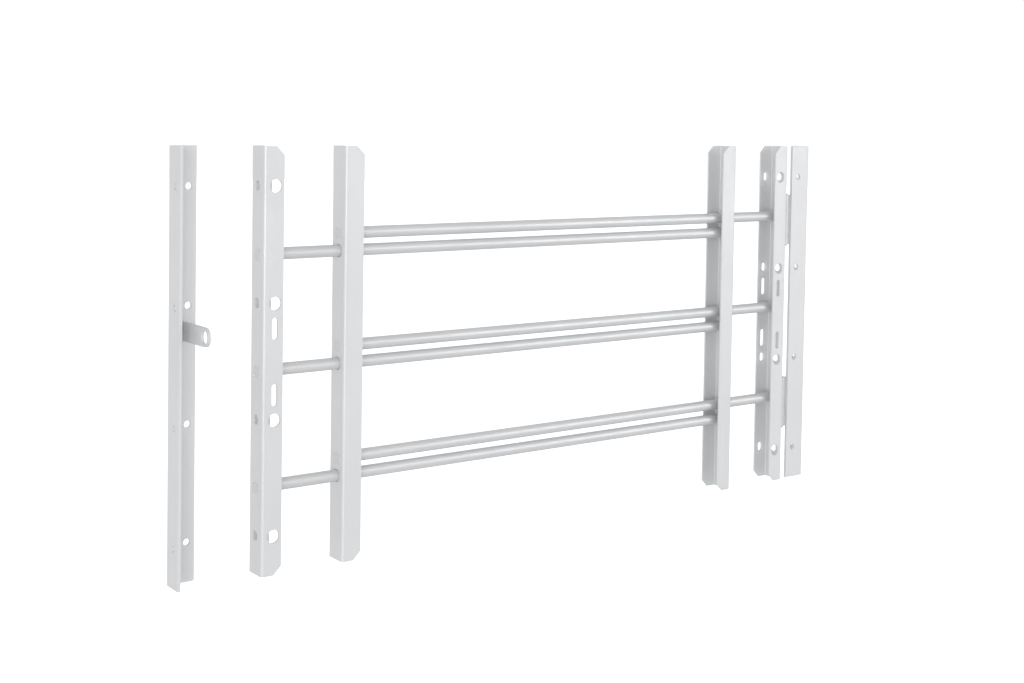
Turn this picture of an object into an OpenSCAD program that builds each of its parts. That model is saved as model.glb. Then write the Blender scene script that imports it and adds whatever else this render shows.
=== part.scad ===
// Telescoping, swing-away window guard: two barred half frames that slide through
// each other, hinged on an angle at one jamb and padlocked to an angle at the other.
// X runs across the window, the room is on the -Y side, Z is up. The origin lies on
// the face of the hinge jamb, in the plane of the bars, at mid-height.

/* [Guard] */
// Height of the channels and angles
height = 431.8; // [420:0.1:460]
// Outer length of each half frame, end face to end face
half_length = 653; // [600:1:680]
// Outer length of the guard as it stands, both halves together
reach = 745.5; // [740:0.5:1100]

/* [Bars] */
// Diameter of the solid round bars
bar_d = 12.7; // [10:0.1:13]
// Height from one row of bars to the next
row_pitch = 117.5; // [112:0.5:125]
// How far the rows of bars sit below the middle of the guard
row_drop = 1; // [0:0.1:2]
// Height between the two bars that run side by side in one row
pair_gap = 18.3; // [16:0.1:20]
// Clearance round a bar where it slides through a channel
slide_gap = 0.5; // [0.4:0.05:0.8]

/* [Channels] */
// Depth of a channel, outside to outside of its flanges
channel_depth = 28.6; // [26:0.1:30]
// Width of a flange, from the back of the web to its free edge
flange_w = 22.2; // [20:0.1:25]
// Thickness of the channel steel
channel_t = 2; // [1.6:0.1:2.5]
// Outside radius of the channel bends
channel_bend = 3.4; // [2.6:0.1:4]
// Cut across each free corner of the flanges
corner_cut = 8.7; // [5:0.1:10]

/* [Holes and slots] */
// Height from one screw hole to the next
hole_pitch = 117.5; // [112:0.5:125]
// Diameter of the tool holes in the front flanges
front_hole_d = 13.5; // [11:0.1:14]
// Width of the oblong bolt holes in the back flanges
back_hole_w = 6.6; // [6:0.1:8]
// Height of the oblong bolt holes in the back flanges
back_hole_h = 11; // [9:0.1:13]
// Diameter of the screw holes in the webs
web_hole_d = 10.4; // [7:0.1:12]
// Distance of the flange holes and slots from the back of the web
flange_gauge = 13; // [12.6:0.1:13.4]
// Width of a tab slot
slot_w = 6; // [5.6:0.1:7]
// Length of a tab slot, end to end
slot_len = 22.2; // [21:0.1:28]
// Height of the tab slots above and below the middle
slot_z = 33.5; // [31:0.1:36]

/* [Angles] */
// Width of both legs of the lock angle and of the hinge angle's jamb leg
narrow_leg = 28.6; // [28:0.1:32]
// Width of the hinge angle's face leg
wide_leg = 31.8; // [28:0.1:34]
// Thickness of the angle steel
angle_t = 3.2; // [3:0.1:3.2]
// Outside radius of the angle bends
angle_bend = 4.2; // [4:0.1:5]
// Diameter of the screw holes in the lock angle
lock_hole_d = 7.1; // [5:0.1:8]
// Diameter of the screw holes in the hinge angle
hinge_hole_d = 7.9; // [5:0.1:9]
// Distance of the jamb legs' holes from the corner
jamb_gauge = 18; // [14:0.1:20]
// Distance of the face legs' holes from the corner
face_gauge = 20.6; // [17:0.1:22]
// Distance from the lock angle's corner to the guard's end face
lock_gap = 87.5; // [70:0.5:140]
// Gap between the closed guard and the lock angle's face leg
closed_gap = 0.5; // [0.4:0.1:1]

/* [Padlock tab] */
// Thickness of the tab
tab_t = 3.2; // [3:0.1:4]
// Height of the tab
tab_h = 19; // [18:0.1:20]
// Length of the tab in front of the lock angle's face leg
tab_len = 57; // [52:0.5:64]
// Diameter of the padlock hole, in the middle of the tab's round end
tab_hole_d = 13.5; // [10:0.1:14]
// Distance of the tab's middle from the lock angle's corner
tab_gauge = 17.2; // [17:0.1:18]

/* [Hinges] */
// Gap between the guard's end face and the edge of the hinge angle
hinge_gap = 11.5; // [11.3:0.1:12.5]
// How far the hinge angle's face stands back from the guard's front
set_back = 3.1; // [2.6:0.1:3.3]
// Length of each hinge
hinge_len = 64.5; // [60:0.5:70]
// Height of the hinges above and below their own middle
hinge_z = 118.5; // [112:0.5:122]
// How far the pair of hinges sits above the middle of the guard
hinge_up = 2.5; // [0:0.5:6]
// Outside diameter of the hinge barrel
barrel_d = 6; // [5.8:0.1:6.2]
// Diameter of the hinge pin
pin_d = 3; // [2.6:0.1:3.2]
// Running clearance between the pin and the swinging knuckles
pin_gap = 0.05; // [0.03:0.01:0.08]
// Thickness of a hinge leaf
leaf_t = 1.5; // [1.4:0.1:1.6]
// Width of a hinge leaf from the barrel's middle
leaf_w = 19; // [17:0.5:19.5]
// Number of knuckles on each hinge
knuckles = 5; // [5, 7]

/* [Hidden] */
$fn = 64;
paint = "#c9ccd0";
bare_steel = "#b9b09a";

front = -channel_depth / 2;
back = channel_depth / 2;
eps = 0.5;                      // how far a cutter runs past the face it cuts

barrel_r = barrel_d / 2;
face_y = front + set_back;                      // front of the hinge angle
pin_y = face_y + angle_t + leaf_t - barrel_r;   // barrel flush with its leaf's back
hinge_end = -(wide_leg + hinge_gap);            // guard's hinge end face
pin_x = hinge_end + barrel_r;
lock_end = hinge_end - reach;                   // guard's lock end face
lock_inner = lock_end + half_length;            // far end face of the lock half
hinge_inner = hinge_end - half_length;          // far end face of the hinge half
lock_corner = lock_end - lock_gap;              // lock angle's corner on its jamb
lock_back = back + closed_gap + angle_t;        // back of the lock angle's face leg

rows = [for (k = [-1 : 1]) k * row_pitch - row_drop];
hole_rows = [-1.5, -0.5, 0.5, 1.5] * hole_pitch;
knuckle_len = hinge_len / knuckles;
knuckle_gap = 0.25;
stake_reach = bar_d / 2 * 1.04;                 // punch marks sit on the bar's rim
stake_r = 1.6;
stake_deep = 1.6;
weld_r = 1.4;

// --- shared shapes ---------------------------------------------------------

// A bar that lies along X from x0 to x1
module rod(x0, x1, z, d) {
    translate([x0, 0, z]) rotate([0, 90, 0]) cylinder(h = x1 - x0, d = d);
}

// Four punch marks round a bar end, on a web face at x = 0 that looks towards -X
module stake_marks(z) {
    for (a = [45 : 90 : 315])
        translate([-0.01, stake_reach * cos(a), z + stake_reach * sin(a)])
            rotate([0, 90, 0]) cylinder(h = stake_deep, r1 = stake_r, r2 = stake_r * 0.6);
}

// A w by d outline with its two corners at x = 0 rounded
module round_back(w, d, r) {
    translate([0, -d / 2 + r]) square([w, d - 2 * r]);
    translate([r, -d / 2]) square([w - r, d]);
    for (s = [-1, 1]) translate([r, s * (d / 2 - r)]) circle(r = r);
}

// Section of a channel: web on the Y axis, flanges towards +X
module channel_section(w, d, t, bend) {
    difference() {
        round_back(w, d, bend);
        translate([t, 0]) round_back(w, d - 2 * t, bend - t);
    }
}

// A channel with its web at x = 0, open towards +X. fixed: heights of the bars
// staked into its web; sliding: heights of the bars that slide through it.
module channel(fixed, sliding) {
    difference() {
        translate([0, 0, -height / 2]) linear_extrude(height)
            channel_section(flange_w, channel_depth, channel_t, channel_bend);
        for (s = [-1, 1]) translate([flange_w, 0, s * height / 2])
            rotate([0, 45, 0])
                cube([corner_cut * sqrt(2), channel_depth + 2 * eps,
                      corner_cut * sqrt(2)], center = true);
        for (z = fixed) {
            rod(-eps, channel_t + eps, z, bar_d);
            stake_marks(z);
        }
        for (z = sliding) rod(-eps, channel_t + eps, z, bar_d + 2 * slide_gap);
    }
}

// Screw holes, tool holes and tab slots of the two outer channels
module outer_channel_cuts() {
    for (z = hole_rows) {
        rod(-eps, channel_t + eps, z, web_hole_d);
        translate([flange_gauge, front - eps, z]) rotate([-90, 0, 0])
            cylinder(h = channel_depth / 2, d = front_hole_d);
        translate([flange_gauge, channel_depth / 2, z])
            slot_cut(back_hole_w, back_hole_h, channel_depth);
    }
    for (s = [-1, 1]) translate([flange_gauge, 0, s * slot_z])
        slot_cut(slot_w, slot_len, channel_depth + 2 * eps);
}

// Upright slot w wide and h high with round ends, cut deep along Y
module slot_cut(w, h, deep) {
    cube([w, deep, h - w], center = true);
    for (s = [-1, 1]) translate([0, 0, s * (h - w) / 2]) rotate([90, 0, 0])
        cylinder(h = deep, d = w, center = true);
}

module outer_channel(fixed) {
    difference() {
        channel(fixed, []);
        outer_channel_cuts();
    }
}

// Angle with its corner at the origin: jamb leg towards +Y, face leg towards +X
module angle(jamb_leg, face_leg, hole_d) {
    inner = angle_bend - angle_t;
    difference() {
        translate([0, 0, -height / 2]) linear_extrude(height) difference() {
            union() {
                translate([angle_bend, 0]) square([face_leg - angle_bend, angle_t]);
                translate([0, angle_bend]) square([angle_t, jamb_leg - angle_bend]);
                intersection() {
                    square(angle_bend);
                    translate([angle_bend, angle_bend]) circle(r = angle_bend);
                }
            }
            translate([angle_bend, angle_bend]) circle(r = inner);
        }
        for (z = hole_rows) {
            translate([-eps, jamb_gauge, z]) rotate([0, 90, 0])
                cylinder(h = angle_t + 2 * eps, d = hole_d);
            translate([face_gauge, -eps, z]) rotate([-90, 0, 0])
                cylinder(h = angle_t + 2 * eps, d = hole_d);
        }
    }
}

// --- lock side -------------------------------------------------------------

module lock_angle() {
    color(paint) difference() {
        translate([lock_corner, lock_back, 0]) mirror([0, 1, 0])
            angle(narrow_leg, narrow_leg, lock_hole_d);
        tab_blank();
    }
}

// Outline of the tab: its root passes through the face leg and is ground flush
module tab_blank() {
    root = lock_back - angle_t;
    round_r = tab_h / 2;
    translate([lock_corner + tab_gauge - tab_t / 2, 0, slot_z]) {
        translate([0, root - tab_len + round_r, -tab_h / 2])
            cube([tab_t, tab_len - round_r + angle_t, tab_h]);
        translate([0, root - tab_len + round_r, 0]) rotate([0, 90, 0])
            cylinder(h = tab_t, r = round_r);
    }
}

module padlock_tab() {
    color(paint) difference() {
        tab_blank();
        translate([lock_corner + tab_gauge - tab_t / 2 - eps,
                   lock_back - angle_t - tab_len + tab_h / 2, slot_z])
            rotate([0, 90, 0]) cylinder(h = tab_t + 2 * eps, d = tab_hole_d);
    }
}

// --- lock half: outer channel, inner channel and the lower bar of each row ---

lower = [for (z = rows) z - pair_gap / 2];
upper = [for (z = rows) z + pair_gap / 2];

module lock_channel() {
    color(paint) translate([lock_end, 0, 0]) outer_channel(lower);
}

module lock_end_channel() {
    color(paint) translate([lock_inner, 0, 0]) mirror([1, 0, 0])
        channel(lower, upper);
}

// A bar staked flush into two webs
module staked_bar(x0, x1, z) {
    color(paint) difference() {
        rod(x0, x1, z, bar_d);
        translate([x0, 0, 0]) stake_marks(z);
        translate([x1, 0, 0]) mirror([1, 0, 0]) stake_marks(z);
    }
}

module lock_bar(row) { staked_bar(lock_end, lock_inner, lower[row]); }
module lock_bar_top() { lock_bar(2); }
module lock_bar_middle() { lock_bar(1); }
module lock_bar_bottom() { lock_bar(0); }

// --- hinge half: outer channel, inner channel and the upper bar of each row ---

module hinge_channel() {
    color(paint) translate([hinge_end, 0, 0]) mirror([1, 0, 0]) outer_channel(upper);
}

module hinge_end_channel() {
    color(paint) translate([hinge_inner, 0, 0]) channel(upper, lower);
}

module hinge_bar(row) { staked_bar(hinge_inner, hinge_end, upper[row]); }
module hinge_bar_top() { hinge_bar(2); }
module hinge_bar_middle() { hinge_bar(1); }
module hinge_bar_bottom() { hinge_bar(0); }

// --- hinges ----------------------------------------------------------------

// Barrel pieces of one leaf, on the pin's axis: every second knuckle from first
module knuckle_set(first, r, gap) {
    for (k = [first : 2 : knuckles - 1])
        translate([0, 0, -hinge_len / 2 + k * knuckle_len + gap])
            cylinder(h = knuckle_len - 2 * gap, r = r);
}

// One leaf on the pin's axis: its plate runs towards +Y, flush with the barrel's
// -X side. first is the number of its lowest knuckle, notch the space it leaves
// round the other leaf's knuckles.
module leaf(first, bore, notch) {
    difference() {
        union() {
            knuckle_set(first, barrel_r, knuckle_gap / 2);
            translate([-barrel_r, 0, -hinge_len / 2 + knuckle_gap / 2])
                cube([leaf_t, leaf_w, hinge_len - knuckle_gap]);
        }
        knuckle_set(1 - first, barrel_r + notch, -knuckle_gap / 2);
        cylinder(h = hinge_len + 2 * eps, d = bore, center = true);
    }
}

// Fillet weld along the free edge of a leaf placed as above, against steel that
// lies at x = face on its -X side (side = 1) or its +X side (side = -1)
module leaf_weld(face, side) {
    run = hinge_len * 0.8;
    translate([face, leaf_w, -run / 2]) intersection() {
        translate([side < 0 ? -weld_r : 0, 0, 0]) cube([weld_r, weld_r, run]);
        cylinder(h = run, r = weld_r);
    }
}

module at_pin(s) { translate([pin_x, pin_y, hinge_up + s * hinge_z]) children(); }

module channel_leaf(s) {
    color(paint) at_pin(s) leaf(1, pin_d + 2 * pin_gap, 0.3);
}
module top_channel_leaf() { channel_leaf(1); }
module bottom_channel_leaf() { channel_leaf(-1); }

module channel_leaf_welds() {
    color(paint) for (s = [-1, 1]) at_pin(s) leaf_weld(-barrel_r, 1);
}

// The fixed leaf lies behind the hinge angle's face leg
module angle_leaf(s) {
    color(paint) at_pin(s) behind_angle() leaf(0, pin_d, 1.5);
}
module behind_angle() { rotate([0, 0, -90]) children(); }
module top_angle_leaf() { angle_leaf(1); }
module bottom_angle_leaf() { angle_leaf(-1); }

module angle_leaf_welds() {
    color(paint) for (s = [-1, 1]) at_pin(s) behind_angle()
        leaf_weld(-barrel_r + leaf_t, -1);
}

// Headed pin, peened over at its lower end
module pin(s) {
    head_r = pin_d * 0.72;
    color(bare_steel) at_pin(s) {
        cylinder(h = hinge_len, d = pin_d, center = true);
        for (m = [0, 1]) mirror([0, 0, m]) translate([0, 0, hinge_len / 2]) {
            cylinder(h = 0.6, r = head_r);
            translate([0, 0, 0.6]) cylinder(h = 0.6, r1 = head_r, r2 = head_r * 0.6);
        }
    }
}
module top_pin() { pin(1); }
module bottom_pin() { pin(-1); }

// --- hinge angle -----------------------------------------------------------

// Corner at the front of the jamb, face leg back towards the guard
module hinge_angle() {
    color(paint) translate([0, face_y, 0]) mirror([1, 0, 0])
        angle(narrow_leg, wide_leg, hinge_hole_d);
}

lock_angle();
padlock_tab();
lock_channel();
lock_end_channel();
lock_bar_top();
lock_bar_middle();
lock_bar_bottom();
hinge_channel();
hinge_end_channel();
hinge_bar_top();
hinge_bar_middle();
hinge_bar_bottom();
top_channel_leaf();
bottom_channel_leaf();
channel_leaf_welds();
hinge_angle();
top_angle_leaf();
bottom_angle_leaf();
angle_leaf_welds();
top_pin();
bottom_pin();
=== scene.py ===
"""Looks for the telescoping window guard: coats, edges, light, floor and camera."""
import math

import bpy
from mathutils import Matrix, Vector


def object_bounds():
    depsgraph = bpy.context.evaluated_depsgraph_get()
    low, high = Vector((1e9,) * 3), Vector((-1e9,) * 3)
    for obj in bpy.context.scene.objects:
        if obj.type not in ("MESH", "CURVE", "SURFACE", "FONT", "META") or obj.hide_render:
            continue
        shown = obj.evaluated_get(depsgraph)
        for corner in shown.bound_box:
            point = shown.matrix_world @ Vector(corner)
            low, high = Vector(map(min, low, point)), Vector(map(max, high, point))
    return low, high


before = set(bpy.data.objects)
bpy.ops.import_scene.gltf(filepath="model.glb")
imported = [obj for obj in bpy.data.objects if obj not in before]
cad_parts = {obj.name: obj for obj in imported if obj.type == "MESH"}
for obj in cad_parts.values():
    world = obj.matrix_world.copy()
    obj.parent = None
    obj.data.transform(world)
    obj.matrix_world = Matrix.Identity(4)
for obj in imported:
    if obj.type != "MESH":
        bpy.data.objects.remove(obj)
cad_low, cad_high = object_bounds()

SILVER = (0.755, 0.762, 0.768)
ZINC = (0.62, 0.55, 0.40)


# --- node helpers ------------------------------------------------------------

class Shader:
    """A material whose nodes are added with short calls."""

    def __init__(self, name):
        self.mat = bpy.data.materials.new(name)
        self.mat.use_nodes = True
        self.tree = self.mat.node_tree
        self.bsdf = self.tree.nodes["Principled BSDF"]
        self.here = self.add("ShaderNodeTexCoord").outputs["Object"]

    def add(self, kind, **settings):
        node = self.tree.nodes.new(kind)
        for key, value in settings.items():
            setattr(node, key, value)
        return node

    def link(self, source, target):
        self.tree.links.new(source, target)

    def stretched(self, scale):
        """Object coordinates, scaled by (x, y, z) per metre."""
        mapping = self.add("ShaderNodeMapping")
        mapping.inputs["Scale"].default_value = scale
        self.link(self.here, mapping.inputs["Vector"])
        return mapping.outputs["Vector"]

    def noise(self, scale, detail=3.0, rough=0.55):
        node = self.add("ShaderNodeTexNoise")
        node.inputs["Scale"].default_value = 1.0
        node.inputs["Detail"].default_value = detail
        node.inputs["Roughness"].default_value = rough
        self.link(self.stretched(scale), node.inputs["Vector"])
        return node.outputs["Fac"]

    def band(self, value, low, high, out_low=0.0, out_high=1.0):
        """value mapped from low..high to out_low..out_high, clamped."""
        node = self.add("ShaderNodeMapRange")
        for key, number in (("From Min", low), ("From Max", high),
                            ("To Min", out_low), ("To Max", out_high)):
            node.inputs[key].default_value = number
        self.link(value, node.inputs["Value"])
        return node.outputs["Result"]

    def mix(self, factor, a, b):
        """Colour a where factor is 0 and b where it is 1."""
        node = self.add("ShaderNodeMix", data_type="RGBA")
        self.link(factor, node.inputs["Factor"])
        for key, value in (("A", a), ("B", b)):
            socket = next(s for s in node.inputs if s.name == key and s.type == "RGBA")
            if isinstance(value, tuple):
                socket.default_value = (*value, 1.0)
            else:
                self.link(value, socket)
        return next(s for s in node.outputs if s.type == "RGBA")

    def bump(self, height, depth, strength=1.0, under=None):
        node = self.add("ShaderNodeBump")
        node.inputs["Strength"].default_value = strength
        node.inputs["Distance"].default_value = depth
        self.link(height, node.inputs["Height"])
        if under is not None:
            self.link(under, node.inputs["Normal"])
        return node.outputs["Normal"]


def shade(colour, factor):
    return tuple(min(1.0, c * factor) for c in colour)


# --- materials ---------------------------------------------------------------

def coat(name, colour, along, metallic=0.25, rough=0.42):
    """Satin silver coat. along is the direction the steel was rolled or drawn in."""
    s = Shader(name)
    drawn = [420.0, 420.0, 420.0]
    drawn["XYZ".index(along)] = 5.0
    cloud = s.noise((9.0, 9.0, 9.0), detail=4.0)
    grain = s.noise(tuple(drawn), detail=2.0)
    flake = s.noise((2600.0,) * 3, detail=1.0)
    tone = s.mix(s.band(cloud, 0.3, 0.7), shade(colour, 0.965), shade(colour, 1.035))
    tone = s.mix(s.band(grain, 0.35, 0.65, 0.0, 0.35), tone, shade(colour, 0.94))
    tone = s.mix(s.band(flake, 0.62, 0.80, 0.0, 0.55), tone, shade(colour, 1.18))
    tone = s.mix(s.band(flake, 0.36, 0.22, 0.0, 0.45), tone, shade(colour, 0.86))
    s.link(tone, s.bsdf.inputs["Base Color"])
    mottle = s.noise((60.0,) * 3)
    s.link(s.band(mottle, 0.3, 0.7, rough - 0.05, rough + 0.06), s.bsdf.inputs["Roughness"])
    s.bsdf.inputs["Metallic"].default_value = metallic
    peel = s.noise((650.0,) * 3, detail=2.0)
    under = s.bump(grain, 0.00003, 0.6)
    s.link(s.bump(peel, 0.00006, 0.7, under), s.bsdf.inputs["Normal"])
    return s.mat


def worn_edge(name, colour):
    """Coat rubbed thin along the cut edges."""
    s = Shader(name)
    rub = s.noise((180.0,) * 3, detail=4.0)
    bare = s.band(rub, 0.50, 0.72)
    s.link(s.mix(bare, shade(colour, 1.02), shade(colour, 0.88)), s.bsdf.inputs["Base Color"])
    s.link(s.band(rub, 0.3, 0.7, 0.42, 0.30), s.bsdf.inputs["Roughness"])
    s.bsdf.inputs["Metallic"].default_value = 0.55
    return s.mat


def plated(name, colour):
    """Zinc plate with fine turning marks round the pin."""
    s = Shader(name)
    turned = s.noise((120.0, 120.0, 5200.0), detail=2.0)
    cloud = s.noise((220.0,) * 3, detail=3.0)
    tone = s.mix(s.band(cloud, 0.3, 0.7), shade(colour, 0.86), shade(colour, 1.12))
    s.link(tone, s.bsdf.inputs["Base Color"])
    s.link(s.band(turned, 0.3, 0.7, 0.28, 0.42), s.bsdf.inputs["Roughness"])
    s.bsdf.inputs["Metallic"].default_value = 0.9
    s.link(s.bump(turned, 0.00002, 0.8), s.bsdf.inputs["Normal"])
    return s.mat


upright_coat = coat("upright_coat", SILVER, "Z")
bar_coat = coat("bar_coat", shade(SILVER, 0.98), "X", metallic=0.55, rough=0.41)
hinge_coat = coat("hinge_coat", shade(SILVER, 0.92), "Z", metallic=0.5, rough=0.34)
edge_coat = worn_edge("edge_coat", SILVER)
pin_plate = plated("pin_plate", ZINC)


def dress(node, material, bevel):
    """Gives a CAD node its materials and breaks its sharp edges by bevel metres."""
    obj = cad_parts[node]
    obj.data.shade_smooth()
    obj.material_slots[0].material = material
    obj.data.materials.append(edge_coat)
    weld = obj.modifiers.new("weld", "WELD")
    weld.merge_threshold = 2e-6
    flat = obj.modifiers.new("flat", "DECIMATE")      # joins the triangles of each flat face
    flat.decimate_type = "DISSOLVE"
    flat.angle_limit = math.radians(0.2)
    edge = obj.modifiers.new("edge", "BEVEL")
    edge.width = bevel
    edge.segments = 2
    edge.limit_method = "ANGLE"
    edge.angle_limit = math.radians(35)
    edge.loop_slide = False
    edge.material = 1
    normals = obj.modifiers.new("normals", "WEIGHTED_NORMAL")
    normals.keep_sharp = True


HINGE_EDGE, SHEET_EDGE, BAR_EDGE = 0.00015, 0.0002, 0.0001     # metres

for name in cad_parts:
    if name.endswith("_pin"):
        dress(name, pin_plate, HINGE_EDGE)
    elif "leaf" in name:
        dress(name, hinge_coat, HINGE_EDGE)
    elif "_bar_" in name:
        dress(name, bar_coat, BAR_EDGE)
    else:
        dress(name, upright_coat, SHEET_EDGE)

# --- floor -------------------------------------------------------------------

middle = (cad_low + cad_high) / 2
bpy.ops.mesh.primitive_circle_add(vertices=96, radius=9.0, fill_type="NGON",
                                  location=(middle.x, middle.y, cad_low.z - 0.001))
floor = bpy.context.object
floor.name = "floor"
pale = Shader("pale_floor")
speck = pale.noise((3.0,) * 3)
pale.link(pale.mix(pale.band(speck, 0.3, 0.7), (0.90, 0.90, 0.90), (0.92, 0.92, 0.92)),
          pale.bsdf.inputs["Base Color"])
pale.bsdf.inputs["Roughness"].default_value = 1.0
pale.bsdf.inputs["Specular IOR Level"].default_value = 0.0
pale.bsdf.inputs["Emission Color"].default_value = (1.0, 1.0, 1.0, 1.0)
pale.bsdf.inputs["Emission Strength"].default_value = 0.70
floor.data.materials.append(pale.mat)
floor.visible_diffuse = False
floor.visible_glossy = False
floor.visible_shadow = False

# --- light -------------------------------------------------------------------

# Each box is aimed at the middle of the guard: name, place from that middle, size,
# watts, whether it shows in the coats' reflections, whether it lights them evenly.
SOFTBOXES = [
    ("key", (1.2, -1.35, 0.35), (0.9, 0.9), 3.6, True, True),
    ("fill", (-3.55, -3.4, 0.3), (2.6, 2.4), 70, False, True),
    ("front", (1.0, -4.2, 0.4), (2.4, 2.0), 6, False, True),
    ("strip", (-2.5, -2.4, 0.35), (0.25, 1.8), 22, True, False),
]
ROOM_LEVEL, ROOM_STEEP = 0.79, 0.62     # the room's glow level with the guard and overhead
BACKDROP = 1.05                         # the backdrop's white as the camera sees it

for name, place, (wide, tall), watts, mirrored, soft in SOFTBOXES:
    data = bpy.data.lights.new(name, "AREA")
    data.shape = "RECTANGLE"
    data.size, data.size_y = wide, tall
    data.energy = watts
    lamp = bpy.data.objects.new(name, data)
    lamp.location = middle + Vector(place)
    lamp.rotation_euler = Vector(place).to_track_quat("Z", "Y").to_euler()
    lamp.visible_glossy = mirrored
    lamp.visible_diffuse = soft
    bpy.context.collection.objects.link(lamp)

world = bpy.data.worlds.new("studio")
bpy.context.scene.world = world
world.use_nodes = True
nodes, links = world.node_tree.nodes, world.node_tree.links
room = nodes["Background"]
room.inputs["Color"].default_value = (0.98, 0.99, 1.0, 1.0)
side = nodes.new("ShaderNodeTexCoord").outputs["Generated"]
apart = nodes.new("ShaderNodeSeparateXYZ")
links.new(side, apart.inputs[0])
steep = nodes.new("ShaderNodeMath")
steep.operation = "ABSOLUTE"
links.new(apart.outputs["Z"], steep.inputs[0])
glow = nodes.new("ShaderNodeMapRange")
glow.inputs["To Min"].default_value = ROOM_LEVEL
glow.inputs["To Max"].default_value = ROOM_STEEP
links.new(steep.outputs[0], glow.inputs["Value"])
links.new(glow.outputs["Result"], room.inputs["Strength"])
white = nodes.new("ShaderNodeBackground")
white.inputs["Color"].default_value = (1.0, 1.0, 1.0, 1.0)
white.inputs["Strength"].default_value = BACKDROP
seen = nodes.new("ShaderNodeLightPath")
either = nodes.new("ShaderNodeMixShader")
links.new(seen.outputs["Is Camera Ray"], either.inputs["Fac"])
links.new(room.outputs[0], either.inputs[1])
links.new(white.outputs[0], either.inputs[2])
links.new(either.outputs[0], nodes["World Output"].inputs["Surface"])
bpy.context.scene.view_settings.view_transform = "Standard"

# --- camera ------------------------------------------------------------------

CAMERA_AT = Vector((-1.4636, -1.3412, 0.2488))
HEADING = math.radians(36.422)     # from +Y towards +X
TILT = math.radians(-2.228)
ROLL = math.radians(0.869)
LENS_MM = 52.22
LENS_DROP = -0.1632                 # the view is framed low, as the verticals stay near upright

forward = Vector((math.sin(HEADING) * math.cos(TILT), math.cos(HEADING) * math.cos(TILT),
                  math.sin(TILT)))
level = Vector((math.cos(HEADING), -math.sin(HEADING), 0.0))
rise = level.cross(forward)
right = math.cos(ROLL) * level + math.sin(ROLL) * rise
up = -math.sin(ROLL) * level + math.cos(ROLL) * rise
data = bpy.data.cameras.new("camera")
data.lens = LENS_MM
data.sensor_width = 36.0
data.shift_y = LENS_DROP
camera = bpy.data.objects.new("camera", data)
turn = Matrix((right, up, -forward)).transposed().to_4x4()
camera.matrix_world = Matrix.Translation(CAMERA_AT) @ turn
bpy.context.collection.objects.link(camera)
bpy.context.scene.camera = camera
